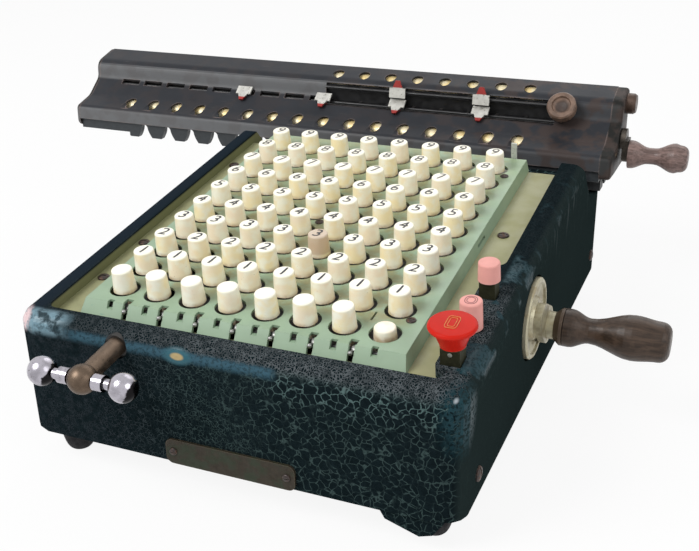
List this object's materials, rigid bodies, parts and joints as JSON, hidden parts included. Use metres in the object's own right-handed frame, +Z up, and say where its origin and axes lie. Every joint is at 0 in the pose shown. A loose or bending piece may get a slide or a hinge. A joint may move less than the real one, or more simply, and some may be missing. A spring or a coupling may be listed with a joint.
{
  "type": "mechanical calculator",
  "caption": "Full-keyboard desk calculator with a dark enamel case, sliding carriage with round dial windows, side crank with a wooden grip and a two-ball carriage-shift handle",
  "frame": {"origin": "centre of the bounding box in X and Y, on the table under the feet in Z", "axes": "+X along the carriage to the crank's side, +Y to the back, +Z up"},
  "size_m": [0.442, 0.3528, 0.1276],
  "materials": {
    "base_steel": "black paint",
    "black_paint": "matt black",
    "bronze": "aged bronze",
    "bush_brass": "plain",
    "cap_brown": "brown",
    "carriage_casting": "satin black",
    "carriage_paint": "satin black",
    "crank_metal": "worn nickel over brass",
    "dark_steel": "dark",
    "dark_wood": "dark varnish",
    "dial_brass": "satin",
    "drum_brass": "plain",
    "enamel_case": "dark blue crackle enamel",
    "foot_rubber": "matt",
    "frame_steel": "plain",
    "green_paint": "satin pale green",
    "handle_chrome": "polished",
    "ivory_plastic": "aged ivory",
    "khaki_paint": "satin khaki",
    "knob_plastic": "mottled brown",
    "pale_metal": "pale",
    "pink_plastic": "glossy",
    "plate_brown": "dull brown",
    "pointer_metal": "satin, red tips",
    "rack_steel": "blackened",
    "rail_steel": "ground",
    "red_plastic": "glossy",
    "red_wood": "worn varnish",
    "screw_metal": "worn",
    "shaft_steel": "ground",
    "tab_chrome": "polished"
  },
  "bodies": {
    "base": {"case_shell": "enamel_case", "base_plate": "base_steel", "feet": "foot_rubber", "keyboard_bed": "khaki_paint", "keyboard_plate": "green_paint", "screws": "screw_metal", "name_plate": "plate_brown", "side_frames": "frame_steel", "tie_rods": "frame_steel", "key_guide_plate": "frame_steel", "carriage_rail": "rail_steel", "shaft_bushes": "bush_brass", "column_marker": "pale_metal"},
    "digit_keys_1": {"digit_keys_1": "ivory_plastic"},
    "digit_keys_2": {"digit_keys_2": "ivory_plastic"},
    "digit_keys_3": {"digit_keys_3": "ivory_plastic"},
    "digit_keys_4": {"digit_keys_4": "ivory_plastic"},
    "digit_keys_5": {"digit_keys_5": "ivory_plastic"},
    "digit_keys_6": {"digit_keys_6": "ivory_plastic"},
    "digit_keys_7": {"digit_keys_7": "ivory_plastic"},
    "digit_keys_8": {"digit_keys_8": "ivory_plastic"},
    "clear_key_1": {"clear_key_1": "ivory_plastic"},
    "clear_key_2": {"clear_key_2": "ivory_plastic"},
    "clear_key_3": {"clear_key_3": "ivory_plastic"},
    "clear_key_4": {"clear_key_4": "ivory_plastic"},
    "clear_key_5": {"clear_key_5": "ivory_plastic"},
    "clear_key_6": {"clear_key_6": "ivory_plastic"},
    "clear_key_7": {"clear_key_7": "ivory_plastic"},
    "clear_key_8": {"clear_key_8": "ivory_plastic"},
    "red_key": {"red_key": "red_plastic"},
    "pink_key_front": {"pink_key_front": "pink_plastic"},
    "pink_key_rear": {"pink_key_rear": "pink_plastic"},
    "column_tab_1": {"column_tab_1": "tab_chrome"},
    "column_tab_2": {"column_tab_2": "tab_chrome"},
    "column_tab_3": {"column_tab_3": "tab_chrome"},
    "column_tab_4": {"column_tab_4": "tab_chrome"},
    "column_tab_5": {"column_tab_5": "tab_chrome"},
    "column_tab_6": {"column_tab_6": "tab_chrome"},
    "column_tab_7": {"column_tab_7": "tab_chrome"},
    "drums": {"drum_shaft": "shaft_steel", "stepped_drums": "drum_brass"},
    "crank": {"crank_disc": "crank_metal"},
    "crank_grip": {"crank_grip": "dark_wood"},
    "selector": {"selector_shaft": "shaft_steel"},
    "carriage": {"carriage_cover": "carriage_paint", "carriage_ends": "carriage_casting", "carriage_frame": "frame_steel", "carriage_rack": "rack_steel", "pointer_rail": "black_paint", "upper_shaft_cap": "cap_brown"},
    "handle": {"shift_stub": "bronze", "shift_handle": "handle_chrome"},
    "pinion": {"shift_shaft": "bronze"},
    "lower_dials": {"lower_dials": "dial_brass"},
    "upper_dials": {"upper_dials": "dial_brass"},
    "clear_crank": {"clear_crank": "dark_steel"},
    "clear_grip": {"clear_grip": "red_wood"},
    "lower_pointers": {"lower_pointers": "pointer_metal"},
    "upper_pointers": {"upper_pointers": "pointer_metal"},
    "carriage_knob": {"carriage_knob": "knob_plastic"}
  },
  "joints": [
    {"name": "digit_keys_1_press", "type": "slide", "parent": "base", "child": "digit_keys_1", "axis": [0, 0.1115, -0.9938], "range_m": [0, 0.004], "stiffness_N_per_m": 400, "springref_m": -0.002},
    {"name": "digit_keys_2_press", "type": "slide", "parent": "base", "child": "digit_keys_2", "axis": [0, 0.1115, -0.9938], "range_m": [0, 0.004], "stiffness_N_per_m": 400, "springref_m": -0.002},
    {"name": "digit_keys_3_press", "type": "slide", "parent": "base", "child": "digit_keys_3", "axis": [0, 0.1115, -0.9938], "range_m": [0, 0.004], "stiffness_N_per_m": 400, "springref_m": -0.002},
    {"name": "digit_keys_4_press", "type": "slide", "parent": "base", "child": "digit_keys_4", "axis": [0, 0.1115, -0.9938], "range_m": [0, 0.004], "stiffness_N_per_m": 400, "springref_m": -0.002},
    {"name": "digit_keys_5_press", "type": "slide", "parent": "base", "child": "digit_keys_5", "axis": [0, 0.1115, -0.9938], "range_m": [0, 0.004], "stiffness_N_per_m": 400, "springref_m": -0.002},
    {"name": "digit_keys_6_press", "type": "slide", "parent": "base", "child": "digit_keys_6", "axis": [0, 0.1115, -0.9938], "range_m": [0, 0.004], "stiffness_N_per_m": 400, "springref_m": -0.002},
    {"name": "digit_keys_7_press", "type": "slide", "parent": "base", "child": "digit_keys_7", "axis": [0, 0.1115, -0.9938], "range_m": [0, 0.004], "stiffness_N_per_m": 400, "springref_m": -0.002},
    {"name": "digit_keys_8_press", "type": "slide", "parent": "base", "child": "digit_keys_8", "axis": [0, 0.1115, -0.9938], "range_m": [0, 0.004], "stiffness_N_per_m": 400, "springref_m": -0.002},
    {"name": "clear_key_1_press", "type": "slide", "parent": "base", "child": "clear_key_1", "axis": [0, 0.1115, -0.9938], "range_m": [0, 0.0075], "stiffness_N_per_m": 400, "springref_m": -0.002},
    {"name": "clear_key_2_press", "type": "slide", "parent": "base", "child": "clear_key_2", "axis": [0, 0.1115, -0.9938], "range_m": [0, 0.0075], "stiffness_N_per_m": 400, "springref_m": -0.002},
    {"name": "clear_key_3_press", "type": "slide", "parent": "base", "child": "clear_key_3", "axis": [0, 0.1115, -0.9938], "range_m": [0, 0.0075], "stiffness_N_per_m": 400, "springref_m": -0.002},
    {"name": "clear_key_4_press", "type": "slide", "parent": "base", "child": "clear_key_4", "axis": [0, 0.1115, -0.9938], "range_m": [0, 0.0075], "stiffness_N_per_m": 400, "springref_m": -0.002},
    {"name": "clear_key_5_press", "type": "slide", "parent": "base", "child": "clear_key_5", "axis": [0, 0.1115, -0.9938], "range_m": [0, 0.0075], "stiffness_N_per_m": 400, "springref_m": -0.002},
    {"name": "clear_key_6_press", "type": "slide", "parent": "base", "child": "clear_key_6", "axis": [0, 0.1115, -0.9938], "range_m": [0, 0.0075], "stiffness_N_per_m": 400, "springref_m": -0.002},
    {"name": "clear_key_7_press", "type": "slide", "parent": "base", "child": "clear_key_7", "axis": [0, 0.1115, -0.9938], "range_m": [0, 0.0075], "stiffness_N_per_m": 400, "springref_m": -0.002},
    {"name": "clear_key_8_press", "type": "slide", "parent": "base", "child": "clear_key_8", "axis": [0, 0.1115, -0.9938], "range_m": [-0.0075, 0]},
    {"name": "red_key_press", "type": "slide", "parent": "base", "child": "red_key", "axis": [0, 0.1115, -0.9938], "range_m": [0, 0.005], "stiffness_N_per_m": 400, "springref_m": -0.002},
    {"name": "pink_key_front_press", "type": "slide", "parent": "base", "child": "pink_key_front", "axis": [0, 0.1115, -0.9938], "range_m": [0, 0.005], "stiffness_N_per_m": 400, "springref_m": -0.002},
    {"name": "pink_key_rear_press", "type": "slide", "parent": "base", "child": "pink_key_rear", "axis": [0, 0.1115, -0.9938], "range_m": [0, 0.005], "stiffness_N_per_m": 400, "springref_m": -0.002},
    {"name": "column_tab_1_swing", "type": "hinge", "parent": "base", "child": "column_tab_1", "pos_m": [-0.0148, -0.11982, 0.07743], "axis": [1, 0, 0], "range_deg": [-10, 10]},
    {"name": "column_tab_2_swing", "type": "hinge", "parent": "base", "child": "column_tab_2", "pos_m": [0.0042, -0.11982, 0.07743], "axis": [1, 0, 0], "range_deg": [-10, 10]},
    {"name": "column_tab_3_swing", "type": "hinge", "parent": "base", "child": "column_tab_3", "pos_m": [0.0232, -0.11982, 0.07743], "axis": [1, 0, 0], "range_deg": [-10, 10]},
    {"name": "column_tab_4_swing", "type": "hinge", "parent": "base", "child": "column_tab_4", "pos_m": [0.0422, -0.11982, 0.07743], "axis": [1, 0, 0], "range_deg": [-10, 10]},
    {"name": "column_tab_5_swing", "type": "hinge", "parent": "base", "child": "column_tab_5", "pos_m": [0.0612, -0.11982, 0.07743], "axis": [1, 0, 0], "range_deg": [-10, 10]},
    {"name": "column_tab_6_swing", "type": "hinge", "parent": "base", "child": "column_tab_6", "pos_m": [0.0802, -0.11982, 0.07743], "axis": [1, 0, 0], "range_deg": [-10, 10]},
    {"name": "column_tab_7_swing", "type": "hinge", "parent": "base", "child": "column_tab_7", "pos_m": [0.0992, -0.11982, 0.07743], "axis": [1, 0, 0], "range_deg": [-10, 10]},
    {"name": "drum_turn", "type": "hinge", "parent": "base", "child": "drums", "pos_m": [0.03505, -0.02739, 0.0355], "axis": [1, 0, 0], "continuous": true},
    {"name": "crank_turn", "type": "hinge", "parent": "base", "child": "crank", "pos_m": [0.15565, -0.02739, 0.0595], "axis": [1, 0, 0], "continuous": true},
    {"name": "crank_grip_spin", "type": "hinge", "parent": "crank", "child": "crank_grip", "pos_m": [0.16995, -0.01688, 0.05186], "axis": [1, 0, 0], "continuous": true},
    {"name": "selector_turn", "type": "hinge", "parent": "base", "child": "selector", "pos_m": [0.03505, -0.00839, 0.0355], "axis": [1, 0, 0], "continuous": true},
    {"name": "carriage_shift", "type": "slide", "parent": "base", "child": "carriage", "axis": [1, 0, 0], "range_m": [0, 0.133]},
    {"name": "handle_turn", "type": "hinge", "parent": "base", "child": "handle", "pos_m": [-0.00735, -0.13839, 0.072], "axis": [0, 0.9938, 0.1115], "range_deg": [0, 631]},
    {"name": "pinion_turn", "type": "hinge", "parent": "base", "child": "pinion", "pos_m": [-0.00735, 0.12239, 0.072], "axis": [0, 1, 0], "range_deg": [0, 631]},
    {"name": "lower_dial_turn", "type": "hinge", "parent": "carriage", "child": "lower_dials", "pos_m": [-0.02335, 0.14139, 0.0933], "axis": [1, 0, 0], "continuous": true},
    {"name": "upper_dial_turn", "type": "hinge", "parent": "carriage", "child": "upper_dials", "pos_m": [-0.02335, 0.16869, 0.1186], "axis": [1, 0, 0], "continuous": true},
    {"name": "clear_crank_turn", "type": "hinge", "parent": "carriage", "child": "clear_crank", "pos_m": [0.16505, 0.15439, 0.1], "axis": [1, 0, 0], "continuous": true},
    {"name": "clear_grip_spin", "type": "hinge", "parent": "clear_crank", "child": "clear_grip", "pos_m": [0.17065, 0.15439, 0.0905], "axis": [1, 0, 0], "continuous": true},
    {"name": "lower_pointer_slide", "type": "slide", "parent": "carriage", "child": "lower_pointers", "axis": [1, 0, 0], "range_m": [-0.005, 0.003]},
    {"name": "upper_pointer_slide", "type": "slide", "parent": "carriage", "child": "upper_pointers", "axis": [1, 0, 0], "range_m": [-0.038, 0.038]},
    {"name": "knob_turn", "type": "hinge", "parent": "carriage", "child": "carriage_knob", "pos_m": [0.12865, 0.15169, 0.1144], "axis": [0, -0.766, 0.6428], "range_deg": [0, 90]}
  ],
  "couplings": [
    {"joint": "crank_turn", "follows": "drum_turn", "ratio": -1},
    {"joint": "handle_turn", "follows": "carriage_shift", "rad_per_m": 82.674},
    {"joint": "pinion_turn", "follows": "carriage_shift", "rad_per_m": 82.674},
    {"joint": "upper_dial_turn", "follows": "lower_dial_turn", "ratio": 1},
    {"joint": "clear_crank_turn", "follows": "lower_dial_turn", "ratio": 1}
  ]
}
